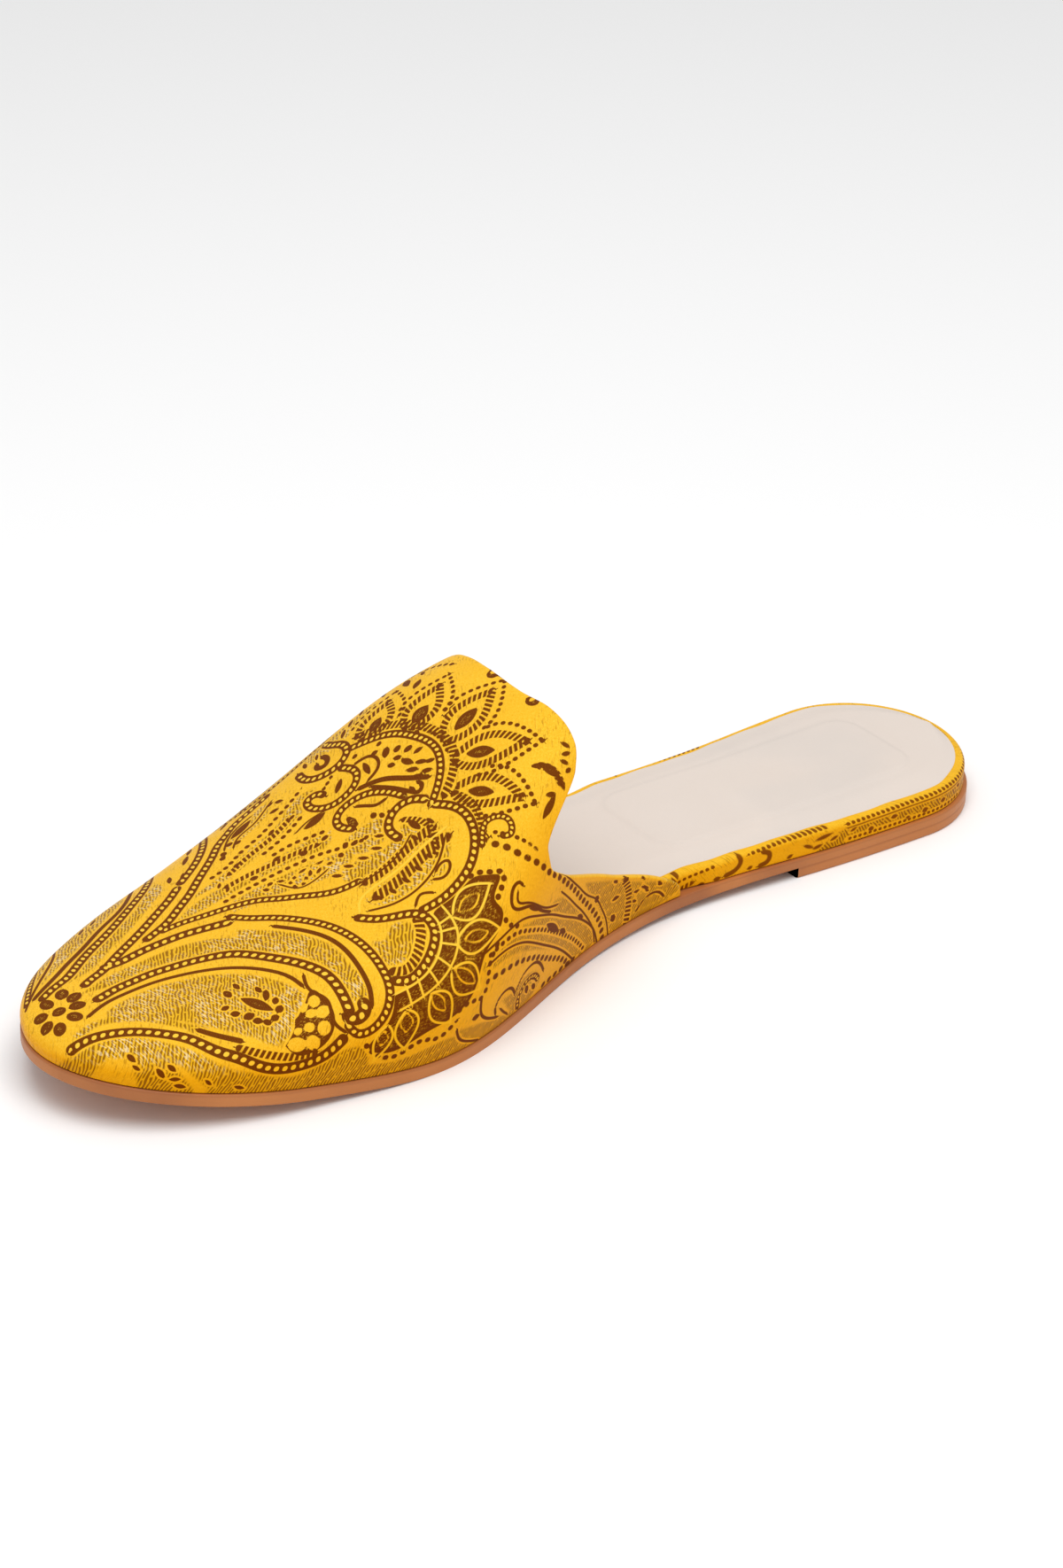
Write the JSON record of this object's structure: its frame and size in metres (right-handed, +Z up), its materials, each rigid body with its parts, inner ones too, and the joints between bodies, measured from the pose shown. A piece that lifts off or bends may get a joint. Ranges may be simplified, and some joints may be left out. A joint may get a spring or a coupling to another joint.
{
  "type": "babouche slipper",
  "caption": "Backless flat slipper for the right foot, brocade vamp with a high rounded tongue, cream insole and thin tan sole.",
  "frame": {"origin": "on the ground under the middle of the shoe's box", "axes": "+X toward the toe, +Y toward the inner side of the foot, +Z up"},
  "size_m": [0.255, 0.087, 0.0628],
  "materials": {
    "brocade": "mustard satin brocade with a brown and olive woven pattern",
    "tan_sole": "smooth tan leather-like sheet, satin",
    "cream_sock": "smooth cream lining leather, matt"
  },
  "bodies": {
    "root": {"outsole": "tan_sole", "heel_lift": "tan_sole", "footbed": "brocade", "insole": "cream_sock", "upper": "brocade"}
  },
  "joints": []
}
